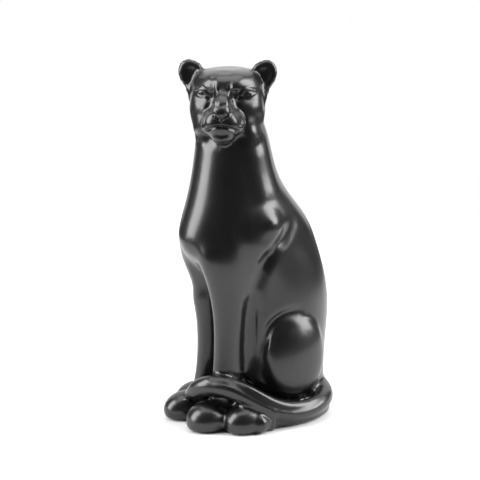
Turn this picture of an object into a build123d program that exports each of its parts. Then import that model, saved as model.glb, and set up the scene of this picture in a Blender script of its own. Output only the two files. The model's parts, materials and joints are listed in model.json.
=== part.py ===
"""Seated big-cat television lamp: a hollow slip-cast figure with a lampholder and bulb inside it.

The figure faces -Y, its left flank is +X and +Z is up. The light leaves by an arched window in the
figure's back, turned towards its right flank, so that the wall behind the lamp is lit.
Millimetres. The figure is designed on its own foot plane, and everything is moved at the end so that
the origin is the centre of the lamp's base, on the table under the felt pads.
"""

from build123d import *
from math import cos, pi, radians, sin, sqrt
import os

# ---- driving dimensions -------------------------------------------------------------------------
# The ceramic figure
figure_height = 364.0  # foot to ear tips
body_width = 94.0  # across the flanks, without the thighs
body_depth = 158.0  # breast to back
wall = 5.0  # slip-cast wall
floor_thickness = 6.0
foot_recess = 16.0  # hollow under the floor, for the lower nut and the flex
foot_rim = 9.0  # width of the ring that the figure stands on
head_turn = 49.0  # degrees to its left
tail_radius = 9.5
window_width = 56.0
window_turn = 25.0  # degrees from the back towards the right flank
window_sill_gap = 12.0  # from the switch's axis down to the sill
window_head_gap = 5.0  # from the bulb's top up to the arch
pad_radius = 7.0
rim_pad_radius = 3.8
pad_thickness = 1.5

# The lampholder's fixing, on standard lamp tube
tube_radius = 5.05
tube_bore = 3.3
tube_stand_down = 8.0  # lamp tube below the floor
thread_clearance = 0.06
ceramic_hole_clearance = 0.6
cushion_radius, cushion_thickness = 12.5, 2.0  # rubber washers that keep steel off the glaze
washer_radius, washer_thickness = 11.0, 1.2
nut_across_flats, nut_thickness = 14.3, 3.2
lock_washer_radius, lock_washer_thickness, lock_washer_teeth = 8.0, 0.8, 10

# The lampholder, for a medium screw bulb
shell_radius, shell_wall, shell_height = 16.6, 0.6, 47.0
cap_wall, hub_radius, hub_height = 0.8, 7.4, 9.0
cap_rise, cap_skirt = 5.5, 7.0
liner_thickness = 0.8
insulator_height = 24.0
screw_shell_radius, screw_shell_wall, screw_shell_height = 13.9, 0.5, 19.0
part_gap = 0.25  # between pieces of the lampholder that only lie close together
slide_clearance = 0.05  # between the switch's shaft and its bore
key_shaft_radius, key_knob_radius, key_knob_length, key_reach = 2.0, 6.5, 13.0, 22.0
key_flutes = 10

# The bulb
bulb_radius, bulb_length = 24.0, 89.0
bulb_cap_radius, bulb_cap_height, bulb_neck_radius = 13.1, 17.0, 12.0
glass_wall = 0.7

# The flex's bush in the foot rim
bush_bore, bush_barrel, bush_flange, bush_flange_thickness = 3.2, 4.8, 7.5, 2.0

# ---- the figure's forms -------------------------------------------------------------------------
# They are drawn for the nominal size below, and stretched to the driving dimensions.
NOMINAL_HEIGHT, NOMINAL_WIDTH, NOMINAL_DEPTH = 364.0, 94.0, 158.0
kx, ky, kz = body_width / NOMINAL_WIDTH, body_depth / NOMINAL_DEPTH, figure_height / NOMINAL_HEIGHT

# Level cuts: height, centre's y, half width, half depth
TORSO = [
    (0, 33, 42, 50),
    (30, 35, 46, 57),
    (70, 34, 46, 60),
    (110, 33, 46, 64),
    (150, 22, 46, 68),
    (182, 3, 46, 76),
    (215, -5, 45, 62),
    (246, -12, 39, 46),
    (275, -14.5, 36, 38.5),
    (300, -17, 33, 33),
    (318, -19, 28, 27),
]
# Level cuts of the left foreleg: height, centre's x and y, half width, half depth
FORELEG = [
    (8, 16, -40, 13, 18),
    (30, 16, -35, 13, 17),
    (63, 15, -30.6, 12.5, 16.7),
    (105, 16, -29, 14, 18.5),
    (135, 18, -26, 17, 28),
    (163, 20, -27, 20, 38),
    (190, 20, -22, 20, 43),
]
# Level cuts of the head, about the upright line through the skull: height, y, half width, half depth
HEAD = [
    (290, 6, 26, 26),
    (300, 4, 34, 34),
    (315, 4, 37, 38),
    (332, 5, 36, 39),
    (347, 6, 32, 36),
    (355, 8, 24, 29),
    (358, 8, 12, 16),
]
SKULL = (1.0, -22.0)
# Egg forms: centre, radii, tilt about x, y, z. Those in PAIRS are mirrored to the right side.
PAIRS = {
    "shoulder": ((32, -10, 196), (19, 34, 36), (0, 0, 0)),
    "hind_paw": ((45, -30, 8), (19, 24, 18), (0, 0, 0)),
    "thigh": ((38, 34, 62), (18, 36, 48), (0, 0, 0)),
}
# The left forepaw stands a little forward of the right one
FOREPAWS = {"left": ((18, -58, 8), (20.5, 23, 19)), "right": ((-25, -55, 8), (18.5, 26, 18))}
FACE = {
    "muzzle": ((0, -33, 307), (21, 22, 17), (0, 0, 0)),
    "nose": ((0, -31, 320), (10.5, 22, 15), (0, 0, 0)),
    "chin": ((0, -38, 293), (13, 13, 10), (0, 0, 0)),
}
EAR = ((32, 4, 345), (14, 6, 21), 38)
EAR_HOLLOW = ((34, -3, 346), (10.5, 6, 16.5), 38)
# The tail's centre line, from the rump round the left side to its tip between the forepaws, and the
# share of the full radius that it has at each point
TAIL = [
    (-6, 80, 24, 1.0),
    (30, 76, 20, 1.0),
    (54, 58, 16, 1.0),
    (62, 24, 14, 1.0),
    (56, -10, 23, 1.1),
    (44, -34, 38, 1.15),
    (26, -52, 44, 1.15),
    (7, -62, 38, 0.95),
    (-8, -63, 27, 0.6),
]
# Footprint of the clay that fills the tail's underside down to the table
TAIL_FOOT = [(28, 84), (48, 73), (61, 52), (66, 26), (62, -2), (52, -26), (20, -20), (0, 30)]
TAIL_FOOT_HEIGHT = 16.0

SIDES = {"left": 1, "right": -1}


def stretched(x, y, z):
    return (x * kx, y * ky, z * kz)


def egg(centre, radii, tilt=(0, 0, 0)):
    """An ellipsoid at its place on the figure."""
    form = Rotation(*tilt) * scale(Sphere(1), by=radii)
    return scale(Pos(*centre) * form, by=(kx, ky, kz))


def level_loft(cuts):
    """A smooth form through elliptical level cuts: (z, x, y, half width, half depth)."""
    return loft([Pos(x, y, z) * Ellipse(a, b) for z, x, y, a, b in cuts])


def torso_at(z):
    """Centre's y, half width and half depth of the torso at a height on the figure."""
    levels = [(h * kz, y * ky, a * kx, b * ky) for h, y, a, b in TORSO]
    for low, high in zip(levels, levels[1:]):
        if z <= high[0]:
            t = max(0.0, (z - low[0]) / (high[0] - low[0]))
            return tuple(p + t * (q - p) for p, q in zip(low[1:], high[1:]))
    return levels[-1][1:]


# ---- places that other pieces take ---------------------------------------------------------------
lamp_y = 34.0 * ky
floor_top = foot_recess + floor_thickness
cap_bottom = floor_top + cushion_thickness + washer_thickness + nut_thickness + lock_washer_thickness
skirt_bottom = cap_bottom + hub_height + cap_rise
skirt_top = skirt_bottom + cap_skirt
shell_bottom = skirt_bottom + 1.4 + part_gap
shell_top = shell_bottom + shell_height
insulator_bottom = shell_bottom + 3.0
insulator_top = insulator_bottom + insulator_height
key_z = insulator_bottom + 11.0
contact_top = insulator_top + 4.0
bulb_bottom = contact_top + 0.3
bulb_top = bulb_bottom + bulb_length
window_bottom = key_z - window_sill_gap
window_top = bulb_top + window_head_gap
window_angle = 90 + window_turn  # from +X, anticlockwise
window_direction = Vector(cos(radians(window_angle)), sin(radians(window_angle)), 0)
bush_z = foot_recess / 2

AXIS = Pos(0, lamp_y, 0)


def from_axis(distance, z):
    """A place out from the lamp's axis towards the window, with its z axis pointing outwards."""
    point = Vector(0, lamp_y, z) + window_direction * distance
    return Location(Plane(origin=point, x_dir=(0, 0, 1), z_dir=window_direction))


def reach_to_wall(z, inset=0.0):
    """Distance from the lamp's axis to the torso's surface, towards the window."""
    y, a, b = torso_at(z)
    a, b = a - inset, b - inset
    dx, dy, offset = window_direction.X, window_direction.Y, lamp_y - y
    p = (dx / a) ** 2 + (dy / b) ** 2
    q = 2 * offset * dy / b**2
    r = (offset / b) ** 2 - 1
    return (-q + sqrt(q * q - 4 * p * r)) / (2 * p)


def disc(radius, bottom, thickness, bore=0.0):
    """A round plate or washer on the lamp's axis."""
    plate = Cylinder(radius, thickness, align=(Align.CENTER, Align.CENTER, Align.MIN))
    if bore:
        plate -= Cylinder(bore, 3 * thickness)
    return AXIS * Pos(0, 0, bottom) * plate


def turned(points):
    """A solid turned about the lamp's axis from (radius, z) points."""
    profile = make_face(Polyline([(r, 0, z) for r, z in points], close=True))
    return AXIS * revolve(profile, Axis.Z)


# ---- the ceramic figure --------------------------------------------------------------------------
def torso():
    return level_loft([(z * kz, 0, y * ky, a * kx, b * ky) for z, y, a, b in TORSO])


def foreleg(side):
    return level_loft(
        [(z * kz, side * x * kx, y * ky, a * kx, b * ky) for z, x, y, a, b in FORELEG]
    )


def ear(side):
    """A rounded ear, dished in front."""
    (x, y, z), radii, lean = EAR
    form = Pos(side * x, y, z) * Rotation(0, side * lean, 0) * scale(Sphere(1), by=radii)
    (x, y, z), radii, lean = EAR_HOLLOW
    return form - Pos(side * x, y, z) * Rotation(0, side * lean, 0) * scale(Sphere(1), by=radii)


def head():
    """The head is drawn facing -Y about its own upright line, then turned and set on the neck."""
    skull = loft([Pos(0, y, z) * Ellipse(a, b) for z, y, a, b in HEAD])
    for centre, radii, tilt in FACE.values():
        skull += Pos(*centre) * Rotation(*tilt) * scale(Sphere(1), by=radii)
    for side in SIDES.values():
        skull += ear(side)
    set_on = Pos(*SKULL, 0) * Rotation(0, 0, head_turn) * skull
    return scale(set_on, by=(kx, ky, kz))


def tail():
    """A tapering round tail, laid through its points."""
    points = [Vector(*stretched(*p[:3])) for p in TAIL]
    line = Spline(*points)
    cuts = []
    for point, (*_, share) in zip(points, TAIL):
        along = line.param_at_point(point)
        cut = Plane(origin=point, z_dir=line.tangent_at(along))
        cuts.append(cut * Circle(tail_radius * share))
    tip_radius = tail_radius * TAIL[-1][3]
    tip = Pos(*points[-1]) * Sphere(tip_radius)
    foot = make_face(Spline([(x * kx, y * ky) for x, y in TAIL_FOOT], periodic=True))
    return loft(cuts) + tip + extrude(foot, TAIL_FOOT_HEIGHT * kz)


def cavity():
    """The hollow above the floor: level cuts of the torso, at least a wall smaller, and the head's."""
    cuts = []
    for z in (floor_top, 70 * kz, 110 * kz, 165 * kz, 236 * kz, 296 * kz):
        y, a, b = torso_at(z)
        cuts.append(Pos(0, y, z) * Ellipse(a - wall, b - wall - 1.0))
    return loft(cuts)


def head_cavity():
    centre, radii = (1, -20, 322), (27, 27, 28)
    return scale(Pos(*centre) * Rotation(0, 0, head_turn) * scale(Sphere(1), by=radii), by=(kx, ky, kz))


def foot_hollow():
    """The shallow hollow under the floor, inside the ring that the figure stands on."""
    cuts = []
    for z in (-1.0, foot_recess):
        y, a, b = torso_at(max(z, 0.0))
        cuts.append(Pos(0, y, z) * Ellipse(a - foot_rim, b - foot_rim))
    return loft(cuts)


def light_window():
    """An arched opening from the lamp space out through the back."""
    height = window_top - window_bottom
    outline = RectangleRounded(height, window_width, 0.49 * window_width)
    depth = 100.0 * ky
    middle = (window_top + window_bottom) / 2
    return from_axis(bulb_radius / 2, middle) * extrude(outline, depth)


def flex_hole():
    """The hole for the flex's bush, with a flat seat for its flange."""
    seat = from_axis(reach_to_wall(bush_z) - bush_flange_thickness, bush_z)
    hole = from_axis(0, bush_z) * Cylinder(
        bush_barrel + thread_clearance, 100 * ky, align=(Align.CENTER, Align.CENTER, Align.MIN)
    )
    face = seat * Cylinder(
        bush_flange + 1.0, 40, align=(Align.CENTER, Align.CENTER, Align.MIN)
    )
    return hole, face


def figure():
    body = torso()
    for name, side in SIDES.items():
        body += foreleg(side)
        body += egg(*FOREPAWS[name])
        for (x, y, z), radii, tilt in PAIRS.values():
            body += egg((side * x, y, z), radii, tilt)
    body += head()
    body += tail()
    body -= Pos(0, 0, -50) * Box(400, 500, 100)
    body -= cavity()
    body -= head_cavity()
    body -= foot_hollow()
    body -= disc(tube_radius + ceramic_hole_clearance, 0, 2 * floor_top)
    body -= light_window()
    for cut in flex_hole():
        body -= cut
    return body


# ---- felt pads and the flex's bush ----------------------------------------------------------------
def felt_pads():
    """One pad under each forepaw and three on the ring: name to (x, y, radius)."""
    y, a, b = torso_at(0)
    a, b = a - foot_rim / 2, b - foot_rim / 2
    places = {}
    for side, s in SIDES.items():
        (px, py, _), _ = FOREPAWS[side]
        places[f"felt_pad_forepaw_{side}"] = (px * kx, py * ky, pad_radius)
        places[f"felt_pad_flank_{side}"] = (
            s * a * cos(radians(20)), y + b * sin(radians(20)), rim_pad_radius
        )
    places["felt_pad_rump"] = (0, y + b, rim_pad_radius)
    below = (Align.CENTER, Align.CENTER, Align.MAX)
    return {
        name: Pos(x, y, 0) * Cylinder(radius, pad_thickness, align=below)
        for name, (x, y, radius) in places.items()
    }


def flex_bush():
    """A rubber bush: a barrel through the foot rim with a flange outside and a lip inside."""
    outer = reach_to_wall(bush_z) - bush_flange_thickness
    inner = reach_to_wall(bush_z, foot_rim) - 2.0
    up = (Align.CENTER, Align.CENTER, Align.MIN)
    bush = from_axis(inner, bush_z) * Cylinder(bush_barrel, outer - inner + 0.5, align=up)
    bush += from_axis(outer, bush_z) * Cylinder(bush_flange, bush_flange_thickness, align=up)
    bush -= from_axis(0, bush_z) * Cylinder(bush_bore, 100 * ky, align=up)
    return bush


# ---- the lamp tube and its washers and nuts --------------------------------------------------------
def hex_nut(bottom):
    blank = RegularPolygon(nut_across_flats / 2, 6, major_radius=False)
    nut = extrude(blank, nut_thickness)
    nut = nut & Cone(
        nut_across_flats / 2 + nut_thickness * 1.6, nut_across_flats / 2 - 0.2, nut_thickness,
        align=(Align.CENTER, Align.CENTER, Align.MIN),
    )
    nut -= Cylinder(tube_radius + thread_clearance, 3 * nut_thickness)
    return AXIS * Pos(0, 0, bottom) * nut


def lock_washer(bottom):
    """A flat ring with teeth round its edge."""
    ring = Circle(lock_washer_radius - 1.6)
    for n in range(lock_washer_teeth):
        turn = 360 / lock_washer_teeth * n
        ring += Rotation(0, 0, turn) * Pos(lock_washer_radius - 1.4, 0) * Rectangle(2.8, 2.4)
    ring -= Circle(tube_radius + thread_clearance)
    return AXIS * Pos(0, 0, bottom) * extrude(ring, lock_washer_thickness)


def fixing():
    """The lamp tube through the ceramic floor, clamped between cushioned washers."""
    bottom = foot_recess - tube_stand_down
    top = cap_bottom + hub_height
    tube = disc(tube_radius, bottom, top - bottom, tube_bore)
    bore = tube_radius + thread_clearance
    under = foot_recess - cushion_thickness
    return {
        "lamp_tube": tube,
        "cushion_washer_lower": disc(cushion_radius, under, cushion_thickness, bore),
        "steel_washer_lower": disc(
            washer_radius, under - washer_thickness, washer_thickness, bore
        ),
        "hex_nut_lower": hex_nut(under - washer_thickness - nut_thickness),
        "cushion_washer_upper": disc(cushion_radius, floor_top, cushion_thickness, bore),
        "steel_washer_upper": disc(
            washer_radius, floor_top + cushion_thickness, washer_thickness, bore
        ),
        "hex_nut_upper": hex_nut(floor_top + cushion_thickness + washer_thickness),
        "lock_washer": lock_washer(cap_bottom - lock_washer_thickness),
    }


# ---- the lampholder --------------------------------------------------------------------------------
cap_radius = shell_radius + part_gap + cap_wall


def holder_cap():
    """The spun brass cap, with the hub that screws on the lamp tube."""
    bore = tube_radius + thread_clearance
    hub_top = cap_bottom + hub_height
    cap = turned(
        [
            (bore, cap_bottom),
            (hub_radius, cap_bottom),
            (hub_radius, hub_top - 1.0),
            (cap_radius - 3.0, skirt_bottom - 2.0),
            (cap_radius, skirt_bottom + 1.0),
            (cap_radius, skirt_top),
            (cap_radius - cap_wall, skirt_top),
            (cap_radius - cap_wall, skirt_bottom + 1.4),
            (cap_radius - 3.4, skirt_bottom - 1.0),
            (hub_radius, hub_top),
            (bore, hub_top),
        ]
    )
    cap -= side_drill(set_screw_radius + thread_clearance)
    return cap - key_notch(key_shaft_radius + 1.2)


set_screw_radius, set_screw_length = 1.5, 4.5
set_screw_z = cap_bottom + hub_height / 2 - 0.5
back_of_axis = AXIS * Pos(0, 0, set_screw_z) * Rotation(0, -90, 0)


def side_drill(radius):
    return back_of_axis * Cylinder(radius, 40, align=(Align.CENTER, Align.CENTER, Align.MIN))


def set_screw():
    """The slotted screw that locks the hub on the lamp tube."""
    start = tube_radius + 0.1
    screw = Pos(0, 0, start) * Cylinder(
        set_screw_radius, set_screw_length, align=(Align.CENTER, Align.CENTER, Align.MIN)
    )
    screw -= Pos(0, 0, start + set_screw_length) * Box(0.7, 4, 1.6)
    return back_of_axis * screw


def key_notch(half_width):
    """A slot down through a skirt or shell for the switch's shaft, on the window side."""
    place = Plane(
        origin=Vector(0, lamp_y, key_z) + window_direction * (shell_radius / 2),
        x_dir=(0, 0, 1),
        z_dir=window_direction,
    )
    drop = key_z - shell_bottom + 5
    slot = place * (Circle(half_width) + Pos(-drop / 2, 0) * Rectangle(drop, 2 * half_width))
    return extrude(slot, shell_radius)


def tube_shell(outer, thickness, bottom, height):
    return disc(outer, bottom, height, outer - thickness)


def holder_shell():
    """The outer brass shell with its rolled rim."""
    shell = tube_shell(shell_radius, shell_wall, shell_bottom, shell_height)
    rim = AXIS * Pos(0, 0, shell_top - 1.0) * Torus(shell_radius - 0.1, 0.9)
    rim -= disc(shell_radius - shell_wall, shell_top - 4, 6)
    shell += rim
    return shell - key_notch(key_shaft_radius + 1.2)


liner_radius = shell_radius - shell_wall - part_gap
insulator_radius = liner_radius - liner_thickness - part_gap


def shell_liner():
    liner = tube_shell(liner_radius, liner_thickness, shell_bottom, shell_height - 3)
    return liner - key_notch(key_shaft_radius + 1.2)


def cap_liner():
    """The fibre disc that keeps the wires off the cap."""
    return disc(cap_radius - 5.4, skirt_bottom - 0.6, 0.8, tube_radius + 1.0)


terminal_screw_radius, terminal_head_radius = 1.7, 3.2
terminal_depth = 4.0  # how far each terminal's flat is cut back into the insulator
contact_post = 1.6


def terminal_place(side):
    """Outwards from the insulator, square to the switch's shaft."""
    turn = window_angle - 90 * side
    point = AXIS * Rotation(0, 0, turn) * Pos(insulator_radius - terminal_depth, 0, key_z + 3)
    return point * Rotation(0, 90, 0)


def insulator():
    """The moulded body that holds the switch, the terminals and the screw shell."""
    body = disc(insulator_radius, insulator_bottom, insulator_height)
    for side in SIDES.values():
        up = (Align.CENTER, Align.CENTER, Align.MIN)
        body -= terminal_place(side) * Box(16, 14, 10, align=up)
        body -= terminal_place(side) * Cylinder(terminal_screw_radius + thread_clearance, 12)
    body -= shaft_bore(key_shaft_radius + slide_clearance)
    body -= switch_chamber(part_gap)
    body -= disc(contact_post + part_gap, insulator_bottom - 1, insulator_height + 2)
    return body


def shaft_bore(radius):
    return from_axis(4.0, key_z) * Cylinder(
        radius, 30, align=(Align.CENTER, Align.CENTER, Align.MIN)
    )


rotor_radius, rotor_length = 5.0, 4.0


def switch_chamber(gap):
    """Where the switch's rotor turns."""
    return from_axis(4.0 - gap, key_z) * Cylinder(
        rotor_radius + gap, rotor_length + 2 * gap, align=(Align.CENTER, Align.CENTER, Align.MIN)
    )


def switch_key():
    """The shaft with its rotor, and the fluted knob pressed on it."""
    up = (Align.CENTER, Align.CENTER, Align.MIN)
    knob_start = key_reach
    shaft_end = knob_start + key_knob_length - 3
    shaft = from_axis(4.0 + rotor_length / 2, key_z) * Cylinder(
        key_shaft_radius, shaft_end - 4.0 - rotor_length / 2, align=up
    )
    rotor_form = RegularPolygon(rotor_radius, 4)
    rotor = from_axis(4.0, key_z) * extrude(rotor_form, rotor_length)
    knob = Cylinder(key_knob_radius, key_knob_length, align=up)
    knob = fillet(knob.edges().group_by(Axis.Z)[-1], 1.8)
    for n in range(key_flutes):
        angle = 2 * pi / key_flutes * n
        flute = Pos((key_knob_radius + 0.7) * cos(angle), (key_knob_radius + 0.7) * sin(angle), 0)
        knob -= flute * Cylinder(1.5, 3 * key_knob_length)
    knob -= Cylinder(key_shaft_radius, 2 * (shaft_end - knob_start))
    return {
        "switch_shaft": shaft + rotor,
        "switch_knob": from_axis(knob_start, key_z) * knob,
    }


def terminals():
    """The two terminal screws and the plates that they clamp the wires on."""
    up = (Align.CENTER, Align.CENTER, Align.MIN)
    made = {}
    for name, side in (("live", 1), ("neutral", -1)):
        place = terminal_place(side)
        plate = Box(9, 8, 0.8, align=up)
        plate -= Cylinder(terminal_screw_radius + thread_clearance, 5)
        screw = Pos(0, 0, -3) * Cylinder(terminal_screw_radius, 4.3, align=up)
        head_disc = Pos(0, 0, 1.3) * Cylinder(terminal_head_radius, 1.5, align=up)
        head_disc -= Pos(0, 0, 2.8) * Box(0.8, 8, 1.4)
        made[f"terminal_plate_{name}"] = place * plate
        made[f"terminal_screw_{name}"] = place * (screw + head_disc)
    return made


def screw_shell():
    """The threaded shell, drawn as the round wall that clears the bulb's cap."""
    wall_ring = tube_shell(
        screw_shell_radius, screw_shell_wall, insulator_top, screw_shell_height
    )
    return wall_ring + disc(screw_shell_radius, insulator_top, 0.8, 6.0)


def centre_contact():
    """The sprung tongue under the bulb's tip, on its post through the insulator."""
    post = disc(contact_post, insulator_bottom + 2, insulator_height - 1)
    foot_plate = disc(4.5, insulator_top, 0.5)
    leaf = disc(3.6, contact_top - 0.5, 0.5)
    stem = disc(1.2, insulator_top, contact_top - insulator_top)
    return post + foot_plate + leaf + stem


# ---- the bulb ---------------------------------------------------------------------------------------
def bulb_outline(inset):
    """Half outline of the glass, from the neck up to the crown."""
    neck = bulb_bottom + 8.0 + bulb_cap_height
    centre = bulb_top - bulb_radius
    r, n = bulb_radius - inset, bulb_neck_radius - inset
    crown = CenterArc((0, centre), r, -12, 102)
    shoulder = Spline(
        (n, neck), (n + 0.8, neck + 7), crown @ 0, tangents=((0, 1), crown % 0)
    )
    return shoulder, crown, neck


def bulb_solid(inset, drop):
    shoulder, crown, neck = bulb_outline(inset)
    start, end = shoulder @ 0, crown @ 1
    low = neck - drop
    sides = Polyline((end.X, end.Y), (0, low), (start.X, low), (start.X, start.Y))
    profile = make_face(shoulder + crown + sides)
    return AXIS * revolve(Plane.XZ * profile, Axis.Z)


def bulb():
    """A pear-shaped bulb: glass, screw cap, black insulator, tip, stem, leads and filament."""
    cap_low = bulb_bottom + 7.0
    cap_high = cap_low + bulb_cap_height
    glass = bulb_solid(0, 0.5) - bulb_solid(glass_wall, 3.0)
    cap = tube_shell(bulb_cap_radius, 0.4, cap_low, bulb_cap_height)
    cap += turned(
        [
            (bulb_neck_radius + 0.05, cap_high - 0.4),
            (bulb_cap_radius, cap_high - 0.4),
            (bulb_cap_radius + 0.4, cap_high + 1.2),
            (bulb_neck_radius + 0.05, cap_high + 1.2),
        ]
    )
    black = turned(
        [
            (0, bulb_bottom + 1.6),
            (5.0, bulb_bottom + 1.6),
            (bulb_cap_radius - 0.4, cap_low - 0.2),
            (bulb_cap_radius - 0.4, cap_low + 1.4),
            (0, cap_low + 1.4),
        ]
    )
    tip = AXIS * Pos(0, 0, bulb_bottom + 1.6) * Cone(
        2.4, 4.6, 1.6, align=(Align.CENTER, Align.CENTER, Align.MAX)
    )
    stem_top = bulb_top - bulb_radius - 16
    stem = turned(
        [
            (0, cap_high),
            (8.0, cap_high),
            (6.0, cap_high + 3.0),
            (3.0, cap_high + 12.0),
            (3.0, stem_top),
            (0, stem_top + 1.0),
        ]
    )
    leads = None
    lead_spread, lead_top = 9.0, bulb_top - bulb_radius - 2
    for side in SIDES.values():
        route = Polyline((side * 2.0, 0, stem_top - 0.4), (side * lead_spread, 0, lead_top))
        wire = sweep(Plane(origin=route @ 0, z_dir=route % 0) * Circle(0.35), path=route)
        wire = wire - Pos(0, 0, stem_top - 20) * Cylinder(
            3.1, 20.0, align=(Align.CENTER, Align.CENTER, Align.MIN)
        )
        leads = wire if leads is None else leads + wire
    coil = Pos(0, 0, lead_top) * Rotation(0, 90, 0) * Cylinder(0.55, 2 * lead_spread - 1.2)
    return {
        "bulb_glass": glass,
        "bulb_screw_cap": cap,
        "bulb_insulator": black,
        "bulb_tip": tip,
        "bulb_stem": stem,
        "bulb_leads": AXIS * Compound(children=list(leads.solids())),
        "bulb_filament": AXIS * coil,
    }


# ---- putting it together ------------------------------------------------------------------------------
def assembly():
    parts = {"figure": figure(), "flex_bush": flex_bush()}
    parts.update(felt_pads())
    parts.update(fixing())
    parts["holder_cap"] = holder_cap()
    parts["cap_set_screw"] = set_screw()
    parts["cap_liner"] = cap_liner()
    parts["holder_shell"] = holder_shell()
    parts["shell_liner"] = shell_liner()
    parts["holder_insulator"] = insulator()
    parts.update(terminals())
    parts["holder_screw_shell"] = screw_shell()
    parts["centre_contact"] = centre_contact()
    parts.update(switch_key())
    parts.update(bulb())
    return parts


def main():
    parts = assembly()
    box = parts["figure"].bounding_box()
    to_origin = Pos(-(box.min.X + box.max.X) / 2, -(box.min.Y + box.max.Y) / 2, pad_thickness)
    os.makedirs("parts", exist_ok=True)
    for name, shape in parts.items():
        export_step(to_origin * shape, f"parts/{name}.step")


main()
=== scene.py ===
import json
import math

import bpy
import numpy as np
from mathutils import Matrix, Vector
from mathutils.bvhtree import BVHTree

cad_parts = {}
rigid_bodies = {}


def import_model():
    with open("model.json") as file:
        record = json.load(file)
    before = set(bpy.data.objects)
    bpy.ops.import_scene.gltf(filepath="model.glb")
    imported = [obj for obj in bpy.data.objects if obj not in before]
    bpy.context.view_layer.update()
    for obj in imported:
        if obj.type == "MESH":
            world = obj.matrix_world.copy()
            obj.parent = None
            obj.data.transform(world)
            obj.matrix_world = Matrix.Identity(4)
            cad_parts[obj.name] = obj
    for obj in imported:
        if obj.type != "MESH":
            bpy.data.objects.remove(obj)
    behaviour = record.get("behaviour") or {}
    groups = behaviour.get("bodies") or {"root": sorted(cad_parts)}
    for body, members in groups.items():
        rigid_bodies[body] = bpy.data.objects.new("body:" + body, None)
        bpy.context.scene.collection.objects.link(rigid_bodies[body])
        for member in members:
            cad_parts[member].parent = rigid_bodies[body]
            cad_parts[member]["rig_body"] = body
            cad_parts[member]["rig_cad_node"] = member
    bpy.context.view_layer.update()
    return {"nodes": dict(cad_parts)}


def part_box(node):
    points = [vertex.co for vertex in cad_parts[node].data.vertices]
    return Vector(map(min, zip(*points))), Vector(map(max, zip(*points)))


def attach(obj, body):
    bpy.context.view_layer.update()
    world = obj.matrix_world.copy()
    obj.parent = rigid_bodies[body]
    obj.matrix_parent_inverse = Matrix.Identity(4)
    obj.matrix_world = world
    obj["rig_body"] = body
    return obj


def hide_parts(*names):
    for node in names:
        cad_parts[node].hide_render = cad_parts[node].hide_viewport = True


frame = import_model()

bl_info = {
    "name": "Panther television lamp",
    "version": (1, 0, 0),
    "blender": (4, 5, 0),
    "location": "View3D > Sidebar > Lamp",
    "description": "Sculpts, glazes and lights a seated panther lamp round its CAD frame",
    "category": "Object",
}

MM = 0.001

# ---- places read from the frame ------------------------------------------------------------------
TUBE_LOW, TUBE_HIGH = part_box("lamp_tube")
LAMP_AXIS = (TUBE_LOW + TUBE_HIGH) / 2
LAMP_BEHIND_ZERO = 34 * MM
# The figure's own zero: its mid plane, the line that its forms are set out from, and its foot
ZERO = Vector((LAMP_AXIS.x, LAMP_AXIS.y - LAMP_BEHIND_ZERO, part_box("figure")[0].z))
# The same in millimetres, which the clay is worked in
ZERO_MM = np.array(ZERO) / MM

# ---- the figure's places, in millimetres from its zero -------------------------------------------
HEAD_TURN = math.radians(49)  # to its left
SKULL_X, SKULL_Y = 1.0, -22.0
SKULL_HOLLOW, SKULL_HOLLOW_RADIUS = (1.0, -20.0, 322.0), 28.0

# ---- where the camera stands ---------------------------------------------------------------------
VIEW_TURN, VIEW_LIFT = math.radians(55), math.radians(12.5)
VIEW_WIDTH = 0.483  # seen at the figure
AIM_HEIGHT = 0.186  # above the foot
SENSOR = 36  # in millimetres, as Blender has it
SHIFT_X = SHIFT_Y = -5 / 480


def linear(hex_colour):
    """An sRGB hex value as linear red, green, blue and alpha."""
    values = [int(hex_colour[i : i + 2], 16) / 255 for i in (1, 3, 5)]
    lit = [v / 12.92 if v <= 0.04045 else ((v + 0.055) / 1.055) ** 2.4 for v in values]
    return (*lit, 1.0)


# ---- sizes and colours that a user would change --------------------------------------------------
class LampFigureSettings(bpy.types.PropertyGroup):
    clay_grain: bpy.props.FloatProperty(
        name="Clay grain", description="Size of the facets the figure is modelled in",
        default=1.9 * MM, unit="LENGTH", precision=5,
    )
    blend_rounds: bpy.props.IntProperty(
        name="Blend rounds", description="How far the masses are wiped into each other", default=9
    )
    breast_rounds: bpy.props.IntProperty(
        name="Breast rounds", description="How far the breast is wiped into the forelegs",
        default=90,
    )
    stroke_rounds: bpy.props.IntProperty(
        name="Stroke rounds", description="How far the strokes on the clay are wiped over",
        default=5,
    )
    face_cuts: bpy.props.IntProperty(
        name="Face cuts", description="How finely the face's facets are divided", default=2
    )


class LampGlazeSettings(bpy.types.PropertyGroup):
    glaze: bpy.props.FloatVectorProperty(
        name="Glaze", description="Colour of the fired glaze", subtype="COLOR", size=4,
        default=linear("#0d0d0e"),
    )
    glaze_roughness: bpy.props.FloatProperty(
        name="Glaze roughness", description="How soft the glaze's reflections are", default=0.30,
        subtype="FACTOR", min=0, max=1,
    )


class LampStageSettings(bpy.types.PropertyGroup):
    floor_colour: bpy.props.FloatVectorProperty(
        name="Floor", description="Colour of the floor", subtype="COLOR", size=4,
        default=linear("#e2e2e2"),
    )
    camera_distance: bpy.props.FloatProperty(
        name="Camera distance", description="From the camera to the figure",
        default=1.5, unit="LENGTH",
    )


# ---- small helpers -------------------------------------------------------------------------------
def add_node(material, kind, settings=None, **links):
    """Adds one node. settings go on its attributes or its sockets, links join its inputs."""
    tree = material.node_tree
    node = tree.nodes.new(kind)
    for key, value in (settings or {}).items():
        if key in node.inputs.keys() or isinstance(key, int):
            node.inputs[key].default_value = value
        else:
            setattr(node, key, value)
    for key, source in links.items():
        name = int(key[1:]) if key[0] == "i" and key[1:].isdigit() else key.replace("_", " ")
        tree.links.new(source, node.inputs[name])
    return node


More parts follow.
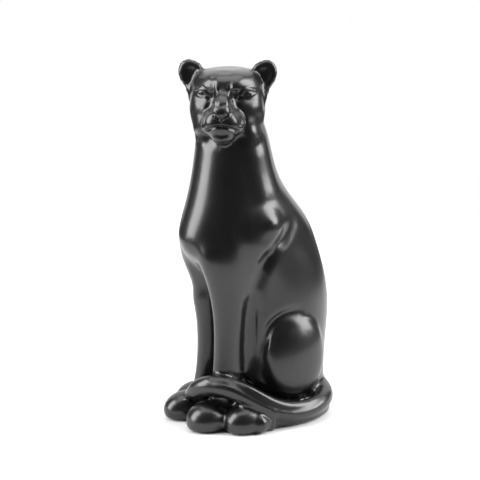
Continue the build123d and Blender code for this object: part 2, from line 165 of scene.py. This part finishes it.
def new_material(name, **sockets):
    """A material whose shader has these constants on its own sockets."""
    material = bpy.data.materials.new(name)
    material.use_nodes = True
    shader = material.node_tree.nodes["Principled BSDF"]
    for key, value in sockets.items():
        shader.inputs[key.replace("_", " ")].default_value = value
    return material, shader


def link(material, source, target):
    material.node_tree.links.new(source, target)


def object_coordinates(material):
    return add_node(material, "ShaderNodeTexCoord").outputs["Object"]


def fine_bump(material, shader, height, distance, strength):
    """A bump on the shader, over the one that it may already have."""
    earlier = shader.inputs["Normal"].links
    over = {"Normal": earlier[0].from_socket} if earlier else {}
    settings = {"Strength": strength, "Distance": distance}
    bump = add_node(material, "ShaderNodeBump", settings, Height=height, **over)
    link(material, bump.outputs["Normal"], shader.inputs["Normal"])


def finish_node(node, material):
    """Gives a CAD node its finish."""
    cad = frame["nodes"][node]
    cad.data.materials.clear()
    cad.data.materials.append(material)


def only(piece):
    """Selects this piece alone and makes it the active one."""
    bpy.ops.object.select_all(action="DESELECT")
    piece.select_set(True)
    bpy.context.view_layer.objects.active = piece


def read_vertices(piece):
    """The piece's vertices, in millimetres."""
    co = np.zeros(len(piece.data.vertices) * 3, np.float32)
    piece.data.vertices.foreach_get("co", co)
    return co.reshape(-1, 3).astype(float) / MM


def read_normals(piece):
    no = np.zeros(len(piece.data.vertices) * 3, np.float32)
    piece.data.vertex_normals.foreach_get("vector", no)
    return no.reshape(-1, 3).astype(float)


def write_vertices(piece, co):
    """Moves the piece's vertices to these places, given in millimetres."""
    piece.data.vertices.foreach_set("co", (co * MM).astype(np.float32).ravel())
    piece.data.update()


# ---- the clay tools ------------------------------------------------------------------------------
ANY = 1e9  # farther than any clay


class Face:
    """A view of the clay that strokes are drawn in: across, up, and the way it is looked at."""

    def __init__(self, origin, across, outwards):
        self.origin = np.array(origin, float)
        self.across = np.array(across, float)
        self.outwards = np.array(outwards, float)
        self.up = np.array((0, 0, 1), float)

    def flat(self, co):
        """The places across and up in this view, and how far out each one is."""
        rel = co - self.origin
        return np.stack([rel @ self.across, rel @ self.up], 1), rel @ self.outwards

    def facing(self, no, least, full):
        """1 where the clay faces this view, fading to 0 where it turns away."""
        return np.clip((no @ self.outwards - least) / (full - least), 0, 1)


def line_distance(flat, points):
    """Distance of each vertex from a line through the points, and how far along the line it is."""
    points = np.array(points, float)
    if len(points) == 1:
        return np.linalg.norm(flat - points[0], axis=1), np.full(len(flat), 0.5)
    best, place = np.full(len(flat), ANY), np.zeros(len(flat))
    lengths = np.linalg.norm(np.diff(points, axis=0), axis=1)
    starts = np.concatenate([[0], np.cumsum(lengths)])
    for a, b, start, length in zip(points, points[1:], starts, lengths):
        ab = b - a
        t = np.clip(((flat - a) @ ab) / (ab @ ab), 0, 1)
        distance = np.linalg.norm(flat - (a + t[:, None] * ab), axis=1)
        nearer = distance < best
        best[nearer] = distance[nearer]
        place[nearer] = ((start + t * length) / starts[-1])[nearer]
    return best, place


def curved(points, steps=6):
    """A smooth line through the points, a Catmull-Rom spline."""
    p = [np.array(q, float) for q in points]
    if len(p) < 3:
        return p
    p = [2 * p[0] - p[1]] + p + [2 * p[-1] - p[-2]]
    line = []
    for a, b, c, d in zip(p, p[1:], p[2:], p[3:]):
        square, cube = 2 * a - 5 * b + 4 * c - d, 3 * b - a - 3 * c + d
        for n in range(steps):
            t = n / steps
            line.append(0.5 * (2 * b + (c - a) * t + square * t**2 + cube * t**3))
    return line + [p[-2]]


def stroke(clay, face, points, radius, height, depth, ends=0.0, least=0.05, full=0.45):
    """Raises (or, below zero, presses in) the clay along a line, fading to nothing at the radius.

    Only clay between the two depths is worked, and only where it faces the tool: not at all below
    least, and in full above full. ends is the share of the line over which the tool is lifted off
    at each end.
    """
    co, no = clay
    flat, out = face.flat(co)
    distance, place = line_distance(flat, curved(points))
    near = (distance < radius) & (out > depth[0]) & (out < depth[1])
    fade = (1 - (distance[near] / radius) ** 2) ** 2
    fade *= face.facing(no[near], least, full)
    if ends:
        lift = np.clip(np.minimum(place[near], 1 - place[near]) / ends, 0, 1)
        fade *= lift * lift * (3 - 2 * lift)
    co[near] += (fade * height)[:, None] * no[near]


def mirrored(points):
    return [(-x, z) for x, z in points]


def marks(clay, face, depth):
    """Two ways to work a symmetrical face: one stroke, or a stroke and its mirror image."""

    def single(points, radius, height, **more):
        stroke(clay, face, points, radius, height, depth, **more)

    def both(points, radius, height, **more):
        single(points, radius, height, **more)
        single(mirrored(points), radius, height, **more)

    return single, both


# ---- the figure ----------------------------------------------------------------------------------
def head_face():
    """The view straight at the face. Across is towards the panther's left."""
    c, s = math.cos(HEAD_TURN), math.sin(HEAD_TURN)
    return Face(ZERO_MM + (SKULL_X, SKULL_Y, 0), (c, s, 0), (s, -c, 0))


def flank_face(side):
    """The three-quarter view of one side, from in front. Across is towards the rump."""
    c, s = math.cos(VIEW_TURN), math.sin(VIEW_TURN)
    return Face(ZERO_MM, (side * c, s, 0), (side * s, -c, 0))


def sculpt_head(clay):
    """The head's masses and hollows."""
    face = head_face()
    single, both = marks(clay, face, (5, ANY))

    # The ears' wide roots, down the sides of the head
    for side in (1, -1):
        profile = Face(face.origin, -face.outwards, side * face.across)
        stroke(clay, profile, [(4, 335), (3, 328)], 9, 2.6, (20, 40), least=-0.2)

    # Forehead: two slow domes with a shallow valley between them
    both([(13, 347)], 14, 1.2)
    single([(0, 343), (0, 357)], 7, -1.4)
    # Hollow of the eye, between the brow and the cheek
    both([(14, 331), (22, 332)], 10, -3.4)
    both([(12, 324)], 8, -1.8)
    # Bridge of the nose, one long straight ridge from the brow to the tip
    single([(0, 345), (0, 334), (0, 320)], 11, 3.0)
    # Cheekbones, and the jowls that run back into the neck
    both([(30, 320)], 15, 2.2)
    both([(24, 302)], 13, 3.4)
    both([(27, 292)], 12, 3.0)
    # The chin draws back under the lower lip
    single([(-14, 288), (0, 287), (14, 288)], 11, -2.4, least=-0.6, full=0.0)


def sculpt_face_details(clay):
    """Eyes, nose, muzzle and mouth, on the finer clay of the face."""
    single, both = marks(clay, head_face(), (12, ANY))

    # The bridge's two edges, where it drops to the eyes
    both([(6.2, 345), (6.0, 336), (6.0, 328), (7, 320)], 3.4, 1.0, ends=0.2)
    both([(11, 340), (10.5, 332), (11.5, 325)], 5, -1.5, ends=0.3)
    # Eyes: the ball, then the lids round it and the crease over them
    both([(23, 334)], 6.5, 2.4)
    both([(15.5, 331), (19, 336.2), (24.5, 337.8), (31, 335)], 2.6, 1.5, ends=0.15)
    both([(16, 331), (19.5, 329.8), (25, 330.2), (31, 334.6)], 2.4, 0.7, ends=0.2)
    both([(18.5, 333.4), (21, 335.4), (25.5, 335.8), (29, 334.4)], 1.5, -0.8, ends=0.2)
    both([(16.4, 331.2), (13, 327)], 2.6, -1.3, ends=0.3)
    # Muzzle pads, and the line round the muzzle
    both([(9.5, 311)], 13, 3.0)
    both([(10, 325), (15, 319), (19, 311), (19.5, 303)], 4.6, -1.6, ends=0.25)
    # Nose leather, nostrils and philtrum
    single([(-4.5, 320), (0, 319.4), (4.5, 320)], 6.5, 2.2)
    both([(5, 316.8), (8, 318.6)], 2.4, -1.6, ends=0.3)
    both([(6.5, 315.2), (4, 313.8), (1.4, 312.6)], 1.8, -1.0)
    single([(0, 311.5), (0, 306.5)], 2.0, -1.1, ends=0.3)
    # Mouth, lower lip and chin
    lips = [(-17, 299), (-11, 303), (-4, 305.4), (4, 305.4), (11, 303), (17, 299)]
    single(lips, 2.6, -2.2, ends=0.15)
    single([(-11, 296.5), (-6, 294), (0, 293), (6, 294), (11, 296.5)], 4.6, 1.2, ends=0.25)


def sculpt_body(clay):
    """Neck, shoulders, foreleg valleys and haunches, on both sides."""
    for side in (1, -1):
        flank = flank_face(side)

        def mark(points, radius, height, lowest=8, **more):
            stroke(clay, flank, points, radius, height, (lowest, ANY), **more)

        # Muscle down the side of the neck to the shoulder
        mark([(8, 296), (15, 268), (22, 240), (28, 214)], 19, 2.6, ends=0.3)
        # Muscle from the back of the skull down the nape
        nape = [(38, 330), (44, 304), (50, 276), (56, 250)]
        mark(nape, 20, 3.0, lowest=-ANY, ends=0.25, least=-0.4)
        # Point of the shoulder, and the upper arm down to the elbow
        mark([(28, 208)], 21, 2.6)
        mark([(28, 206), (31, 194), (29, 182)], 12, 2.0)
        # The fold behind the shoulder and elbow, down the back of the foreleg
        fold = [
            (47, 214), (45, 203), (40, 191), (31, 181), (23, 171), (17, 158), (14, 144), (12, 122)
        ]
        mark(fold, 10, -3.8, ends=0.34)
        mark(fold[2:6], 3.5, -1.2, ends=0.3)
        # Closed valley between foreleg and haunch
        mark([(8, 140), (8, 112), (9, 84), (10, 44)], 13, -4.4, ends=0.25)
        mark([(9, 128), (9, 96), (10, 60)], 4, -1.5, ends=0.3)
        # Lip along the top and front of the haunch
        lip = [(18, 60), (19, 80), (24, 97), (35, 108), (50, 112), (62, 109)]
        mark(lip, 7, -3.4, ends=0.3)
        mark([(x * 0.88 + 6, z * 0.9 + 3) for x, z in lip], 7, 1.6, ends=0.3)


def slim_far_foreleg(clay):
    """The right foreleg is held back under the breast, slimmer than the left one."""
    from_front = Face(ZERO_MM, (1, 0, 0), (0, -1, 0))
    line = [(-27, 172), (-24, 158), (-22, 142)]
    stroke(clay, from_front, line, 24, -3.8, (20, ANY), least=-0.3)


def widen_hind_paw(clay):
    """The left hind paw spreads backwards along the ground, below the tail."""
    line = [(12, 9), (22, 8), (31, 7)]
    stroke(clay, flank_face(1), line, 13, 5.5, (30, ANY), ends=0.1, least=-0.3, full=0.3)


def flatten_skull(clay):
    """The top of the skull is nearly flat between the ears."""
    half_width, start, fade, drop = 27, 338, 20, 3.6
    co = clay[0]
    flat = head_face().flat(co)[0]
    inside = np.clip(1 - (np.abs(flat[:, 0]) / half_width) ** 6, 0, 1)
    above = np.clip((flat[:, 1] - start) / fade, 0, 1)
    co[:, 2] -= drop * inside * above * above * (3 - 2 * above)


def weigh(figure, name, weights, levels):
    """A vertex group of this name, with the weights rounded to so many levels."""
    group = figure.vertex_groups.new(name=name)
    for level in range(1, levels + 1):
        chosen = np.nonzero(np.round(weights * levels) == level)[0]
        group.add([int(i) for i in chosen], level / levels, "REPLACE")


def wipe_over(figure, group, rounds):
    """Wipes the clay smooth, as much as the group's weights say."""
    wipe = figure.modifiers.new("Wipe", "SMOOTH")
    wipe.factor, wipe.iterations, wipe.vertex_group = 0.5, rounds, group
    bpy.ops.object.modifier_apply(modifier="Wipe")


def weigh_breast(figure):
    """The breast, the shoulders' fronts and the tops of the forelegs, fading out all round."""
    middle_height, half_height, spine_side, fade = 166, 44, -18, 22
    _, y, z = (read_vertices(figure) - ZERO_MM).T
    middle = np.clip(1 - np.abs(z - middle_height) / half_height, 0, 1)
    forward = np.clip((spine_side - y) / fade, 0, 1)
    weigh(figure, "breast", np.minimum(1, 1.6 * middle) * forward, 10)


def sculpt_tail(clay):
    """The tail is dished along its outer side, between a thin upper lip and a thick lower band."""
    flank = flank_face(1)

    def mark(points, radius, height, **more):
        stroke(clay, flank, points, radius, height, (20, ANY), **more)

    dish = [
        (84, 28), (72, 21), (58, 18), (42, 20), (24, 28), (6, 39), (-10, 49), (-26, 53), (-40, 48)
    ]
    mark(dish, 5.5, -2.0, ends=0.12)
    mark([(x - 1, z + 8) for x, z in dish[:7]], 4, 1.0, ends=0.15)


def make_figure():
    """Remeshes the CAD figure as clay, works it, glazes it and gives it to the frame."""
    settings = bpy.context.scene.lamp_figure
    figure = frame["nodes"]["figure"].copy()
    figure.data = figure.data.copy()
    figure.name = figure.data.name = "panther_figure"
    figure.parent = None
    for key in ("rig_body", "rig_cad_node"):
        if key in figure:
            del figure[key]
    bpy.context.scene.collection.objects.link(figure)
    only(figure)
    bpy.ops.object.mode_set(mode="EDIT")
    bpy.ops.mesh.select_all(action="SELECT")
    bpy.ops.mesh.remove_doubles(threshold=0.00001)
    bpy.ops.object.mode_set(mode="OBJECT")
    grain = figure.modifiers.new("Clay", "REMESH")
    grain.mode, grain.voxel_size = "VOXEL", settings.clay_grain
    bpy.ops.object.modifier_apply(modifier="Clay")
    # The ears' thin edges are wiped less than the rest
    ear_height, ear_share = 342, 0.35
    z = read_vertices(figure)[:, 2] - ZERO_MM[2]
    weigh(figure, "wiped", np.where(z > ear_height, ear_share, 1.0), 20)
    wipe_over(figure, "wiped", settings.blend_rounds)
    weigh_breast(figure)
    wipe_over(figure, "breast", settings.breast_rounds)

    clay = [read_vertices(figure), read_normals(figure)]
    sculpt_body(clay)
    slim_far_foreleg(clay)
    widen_hind_paw(clay)
    sculpt_tail(clay)
    flatten_skull(clay)
    sculpt_head(clay)
    write_vertices(figure, clay[0])
    wipe_over(figure, "wiped", settings.stroke_rounds)
    divide_face(figure, settings.face_cuts)
    clay = [read_vertices(figure), read_normals(figure)]
    sculpt_face_details(clay)
    write_vertices(figure, clay[0])
    coarsen_inside(figure)
    only(figure)
    bpy.ops.object.shade_smooth()
    figure.vertex_groups.clear()
    figure.data.materials.clear()
    figure.data.materials.append(black_glaze())
    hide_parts("figure")
    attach(figure, "lamp")


def divide_face(figure, cuts):
    """Divides the facets of the face, for the eyes, nose and mouth."""
    face = head_face()
    chin_height, forehead_height, half_width, in_front = 286, 350, 36, 14
    only(figure)
    bpy.ops.object.mode_set(mode="EDIT")
    bpy.ops.mesh.select_all(action="DESELECT")
    bpy.ops.object.mode_set(mode="OBJECT")
    for polygon in figure.data.polygons:
        ((x, z),), (out,) = face.flat(np.array([polygon.center[:]]) / MM)
        facing = np.array(polygon.normal[:]) @ face.outwards > 0.1
        in_height = chin_height < z < forehead_height
        polygon.select = bool(in_height and abs(x) < half_width and out > in_front and facing)
    bpy.ops.object.mode_set(mode="EDIT")
    bpy.ops.mesh.subdivide(number_cuts=cuts, smoothness=0)
    bpy.ops.object.mode_set(mode="OBJECT")


def coarsen_inside(figure):
    """Merges the small facets of the hollow's walls, which only show in the dark by the bulb."""
    only(figure)
    bpy.ops.object.mode_set(mode="EDIT")
    bpy.ops.mesh.select_all(action="DESELECT")
    bpy.ops.object.mode_set(mode="OBJECT")
    tree = BVHTree.FromObject(figure, bpy.context.evaluated_depsgraph_get())
    head_height, breast_height, wider_than_window = 285, 190, 60
    behind_legs, half_breast, level = -12, 40, 0.6
    for polygon in figure.data.polygons:
        normal = polygon.normal
        place = (polygon.center - ZERO) / MM
        if place.z > head_height:
            off = (place - Vector(SKULL_HOLLOW)).length
            polygon.select = off < SKULL_HOLLOW_RADIUS + 3
            continue
        # A wall of the hollow looks level across it at the wall on the other side
        across = tree.ray_cast(polygon.center + normal * MM, normal)[3]
        if across is None or abs(normal.z) >= level:
            polygon.select = False
        elif place.z < breast_height:
            polygon.select = place.y > behind_legs and across > wider_than_window * MM
        else:
            polygon.select = abs(place.x) < half_breast
    bpy.ops.object.mode_set(mode="EDIT")
    bpy.ops.mesh.decimate(ratio=0.2)
    bpy.ops.object.mode_set(mode="OBJECT")


# ---- materials -----------------------------------------------------------------------------------
def black_glaze():
    """Glossy black glaze on slip-cast earthenware, which melts into a faint orange peel."""
    settings = bpy.context.scene.lamp_glaze
    material, shader = new_material(
        "black glazed earthenware", Base_Color=settings.glaze, Roughness=settings.glaze_roughness,
        IOR=1.52, Coat_Weight=0.25, Coat_Roughness=0.16,
    )
    where = object_coordinates(material)

    def noise(size):
        scale = {"Scale": 1 / size, "Detail": 2.0}
        return add_node(material, "ShaderNodeTexNoise", scale, Vector=where)

    # Orange peel, from the melted glaze, and slow waves where the glaze ran
    peel, runs = noise(2.5 * MM), noise(14 * MM)
    rough = add_node(
        material, "ShaderNodeMapRange",
        {3: settings.glaze_roughness - 0.04, 4: settings.glaze_roughness + 0.06},
        Value=runs.outputs["Fac"],
    )
    link(material, rough.outputs["Result"], shader.inputs["Roughness"])
    fine_bump(material, shader, peel.outputs["Fac"], 0.00006, 0.35)
    return material


def plain_finish(
    name, colour, roughness, grain, metallic=0.0, bump=0.2, stretch=(1, 1, 1), thread=(0.0, 0.0)
):
    """A finish with a grain of a real size: it varies the roughness and stands up a little.

    thread is the pitch and depth of a rolled or cut thread about an upright axis.
    """
    material, shader = new_material(
        name, Base_Color=linear(colour), Roughness=roughness, Metallic=metallic
    )
    where = add_node(
        material, "ShaderNodeMapping", {"Scale": stretch}, Vector=object_coordinates(material)
    )
    noise = add_node(
        material, "ShaderNodeTexNoise", {"Scale": 1 / grain, "Detail": 4.0},
        Vector=where.outputs["Vector"],
    )
    rough = add_node(
        material, "ShaderNodeMapRange", {3: roughness * 0.75, 4: min(1.0, roughness * 1.3)},
        Value=noise.outputs["Fac"],
    )
    link(material, rough.outputs["Result"], shader.inputs["Roughness"])
    fine_bump(material, shader, noise.outputs["Fac"], grain * 0.1, bump)
    pitch, depth = thread
    if pitch:
        # A wave texture's bands repeat every tau / 20 of its scale
        turns = add_node(
            material, "ShaderNodeTexWave",
            {"Scale": math.tau / (20 * pitch), "wave_type": "BANDS", "bands_direction": "Z"},
            Vector=object_coordinates(material),
        )
        fine_bump(material, shader, turns.outputs["Fac"], depth, 1.0)
    return material


def frosted_glass():
    """Blown soda glass, etched inside: white and soft, with a smooth outside."""
    material, shader = new_material(
        "frosted soda glass", Base_Color=linear("#f4f3ee"), Roughness=0.45, IOR=1.52,
        Transmission_Weight=0.6, Coat_Weight=1.0, Coat_Roughness=0.05,
    )
    noise = add_node(
        material, "ShaderNodeTexNoise", {"Scale": 1 / 0.0008, "Detail": 3.0},
        Vector=object_coordinates(material),
    )
    fine_bump(material, shader, noise.outputs["Fac"], 0.00005, 0.2)
    return material


# ---- operators -----------------------------------------------------------------------------------
class LAMP_OT_figure(bpy.types.Operator):
    """Model and glaze the seated panther"""

    bl_idname = "lamp.figure"
    bl_label = "Panther figure"

    def execute(self, context):
        make_figure()
        return {"FINISHED"}


class LAMP_OT_hardware(bpy.types.Operator):
    """Give the lampholder, switch, bulb, pads and bush their finishes"""

    bl_idname = "lamp.hardware"
    bl_label = "Hardware finishes"

    def execute(self, context):
        brass = plain_finish("lacquered spun brass", "#c9a24f", 0.26, 0.0012, 1.0, 0.15, (1, 1, 6))
        stamped = plain_finish("stamped brass", "#bf9a4c", 0.34, 0.0008, 1.0)
        zinc = plain_finish("zinc plated steel", "#b9bbbd", 0.34, 0.0010, 1.0)
        turned = plain_finish("turned steel", "#a8a8a6", 0.30, 0.0006, 1.0)
        fibre = plain_finish("vulcanised fibre", "#4a3c30", 0.75, 0.0009, 0.0, 0.4)
        phenolic = plain_finish("moulded phenolic", "#17120f", 0.30, 0.0030, 0.0, 0.1)
        rubber = plain_finish("moulded black rubber", "#1a1a1a", 0.62, 0.0010, 0.0, 0.25)
        felt = plain_finish("pressed wool felt", "#24402c", 0.95, 0.0007, 0.0, 0.9)
        aluminium = plain_finish(
            "rolled aluminium screw shell", "#cfd0d2", 0.30, 0.0008, 1.0,
            thread=(3.63 * MM, 1.2 * MM),
        )
        threaded = plain_finish(
            "zinc plated lamp tube", "#b0b2b4", 0.38, 0.0010, 1.0, thread=(0.94 * MM, 0.5 * MM)
        )
        solder = plain_finish("dipped solder", "#8f9092", 0.38, 0.0015, 1.0)
        wire = plain_finish("drawn nickel wire", "#87837c", 0.30, 0.0004, 1.0)
        glass = frosted_glass()
        finishes = {
            brass: ["holder_cap", "holder_shell"],
            stamped: ["terminal_plate_live", "terminal_screw_live", "centre_contact"],
            zinc: [
                "steel_washer_lower", "steel_washer_upper", "hex_nut_lower",
                "hex_nut_upper", "lock_washer", "cap_set_screw", "terminal_screw_neutral",
                "terminal_plate_neutral",
            ],
            threaded: ["lamp_tube"],
            turned: ["switch_shaft"],
            fibre: ["cap_liner", "shell_liner"],
            phenolic: ["holder_insulator", "switch_knob", "bulb_insulator"],
            rubber: ["flex_bush", "cushion_washer_lower", "cushion_washer_upper"],
            felt: [n for n in frame["nodes"] if n.startswith("felt_pad")],
            aluminium: ["holder_screw_shell", "bulb_screw_cap"],
            solder: ["bulb_tip"],
            wire: ["bulb_leads", "bulb_filament"],
            glass: ["bulb_glass", "bulb_stem"],
        }
        for material, nodes in finishes.items():
            for node in nodes:
                finish_node(node, material)
        for name, cad in frame["nodes"].items():
            if name != "figure":
                only(cad)
                bpy.ops.object.shade_smooth_by_angle(angle=math.radians(35))
        return {"FINISHED"}


class LAMP_OT_stage(bpy.types.Operator):
    """Lay the floor, hang the lights and set up the camera"""

    bl_idname = "lamp.stage"
    bl_label = "Stage"

    def execute(self, context):
        settings = context.scene.lamp_stage
        bpy.ops.object.select_all(action="DESELECT")
        bpy.ops.mesh.primitive_circle_add(
            vertices=128, radius=0.70, fill_type="NGON", location=(-0.25, 0.17, 0)
        )
        bpy.ops.object.transform_apply()
        floor = context.object
        floor.name = "floor"
        paper, shader = new_material(
            "white studio paper", Base_Color=settings.floor_colour, Roughness=0.9
        )
        grain = add_node(
            paper, "ShaderNodeTexNoise", {"Scale": 1 / 0.004, "Detail": 2.0},
            Vector=object_coordinates(paper),
        )
        fine_bump(paper, shader, grain.outputs["Fac"], 0.0001, 0.05)
        floor.data.materials.append(paper)
        self.hang_lights(context)
        self.set_camera(context, settings.camera_distance)
        return {"FINISHED"}

    def hang_lights(self, context):
        world = bpy.data.worlds.new("studio")
        context.scene.world = world
        world.use_nodes = True
        tree = world.node_tree
        sky = tree.nodes["Background"]
        sky.inputs["Color"].default_value = (1, 1, 1, 1)
        path = tree.nodes.new("ShaderNodeLightPath")
        amount = tree.nodes.new("ShaderNodeMapRange")
        amount.inputs["To Min"].default_value = 0.10
        amount.inputs["To Max"].default_value = 1.0
        tree.links.new(path.outputs["Is Camera Ray"], amount.inputs["Value"])
        tree.links.new(amount.outputs["Result"], sky.inputs["Strength"])
        c, s = math.cos(VIEW_TURN), math.sin(VIEW_TURN)
        right, front, up = Vector((c, s, 0)), Vector((s, -c, 0)), Vector((0, 0, 1))
        lights = (
            ("softbox_left", -right * 1.00 + front * 0.25 + up * 0.70, (0.7, 1.3), 25.0),
            ("softbox_right", right * 1.00 + front * 0.08 + up * 0.80, (0.7, 1.2), 25.0),
            ("softbox_back", -front * 1.15 + up * 0.75, (2.2, 1.5), 12.0),
            ("softbox_top", up * 1.45 - front * 0.05, (1.2, 1.2), 12.0),
        )
        aim = Vector((0, 0, 0.2))
        for name, place, size, power in lights:
            data = bpy.data.lights.new(name, "AREA")
            data.shape, data.size, data.size_y, data.energy = "RECTANGLE", size[0], size[1], power
            light = bpy.data.objects.new(name, data)
            context.scene.collection.objects.link(light)
            light.location = place
            light.rotation_euler = (aim - place).to_track_quat("-Z", "Y").to_euler()
            light.visible_camera = False

    def set_camera(self, context, distance):
        out, up = math.cos(VIEW_LIFT), math.sin(VIEW_LIFT)
        back = Vector((math.sin(VIEW_TURN) * out, -math.cos(VIEW_TURN) * out, up))
        data = bpy.data.cameras.new("camera")
        camera = bpy.data.objects.new("camera", data)
        context.scene.collection.objects.link(camera)
        camera.location = ZERO + Vector((0, 0, AIM_HEIGHT)) + back * distance
        camera.rotation_euler = (-back).to_track_quat("-Z", "Y").to_euler()
        data.sensor_width = SENSOR
        data.lens = SENSOR * distance / VIEW_WIDTH
        data.shift_x, data.shift_y = SHIFT_X, SHIFT_Y
        data.clip_start, data.clip_end = 0.01, 200
        context.scene.camera = camera
        context.scene.view_settings.view_transform = "Standard"


class LAMP_PT_panel(bpy.types.Panel):
    """The lamp's operators, in the sidebar"""

    bl_idname = "LAMP_PT_panel"
    bl_label = "Panther lamp"
    bl_space_type = "VIEW_3D"
    bl_region_type = "UI"
    bl_category = "Lamp"

    def draw(self, context):
        for operator in OPERATORS:
            self.layout.operator(operator.bl_idname)


OPERATORS = (LAMP_OT_stage, LAMP_OT_figure, LAMP_OT_hardware)
SETTINGS = {
    "lamp_figure": LampFigureSettings,
    "lamp_glaze": LampGlazeSettings,
    "lamp_stage": LampStageSettings,
}


def register():
    for group in SETTINGS.values():
        bpy.utils.register_class(group)
    for name, group in SETTINGS.items():
        setattr(bpy.types.Scene, name, bpy.props.PointerProperty(type=group))
    for operator in OPERATORS:
        bpy.utils.register_class(operator)
    bpy.utils.register_class(LAMP_PT_panel)


def unregister():
    bpy.utils.unregister_class(LAMP_PT_panel)
    for operator in reversed(OPERATORS):
        bpy.utils.unregister_class(operator)
    for name, group in SETTINGS.items():
        delattr(bpy.types.Scene, name)
        bpy.utils.unregister_class(group)


def main():
    register()
    bpy.ops.lamp.stage()
    bpy.ops.lamp.figure()
    bpy.ops.lamp.hardware()
    bpy.context.view_layer.update()


if __name__ == "__main__":
    main()
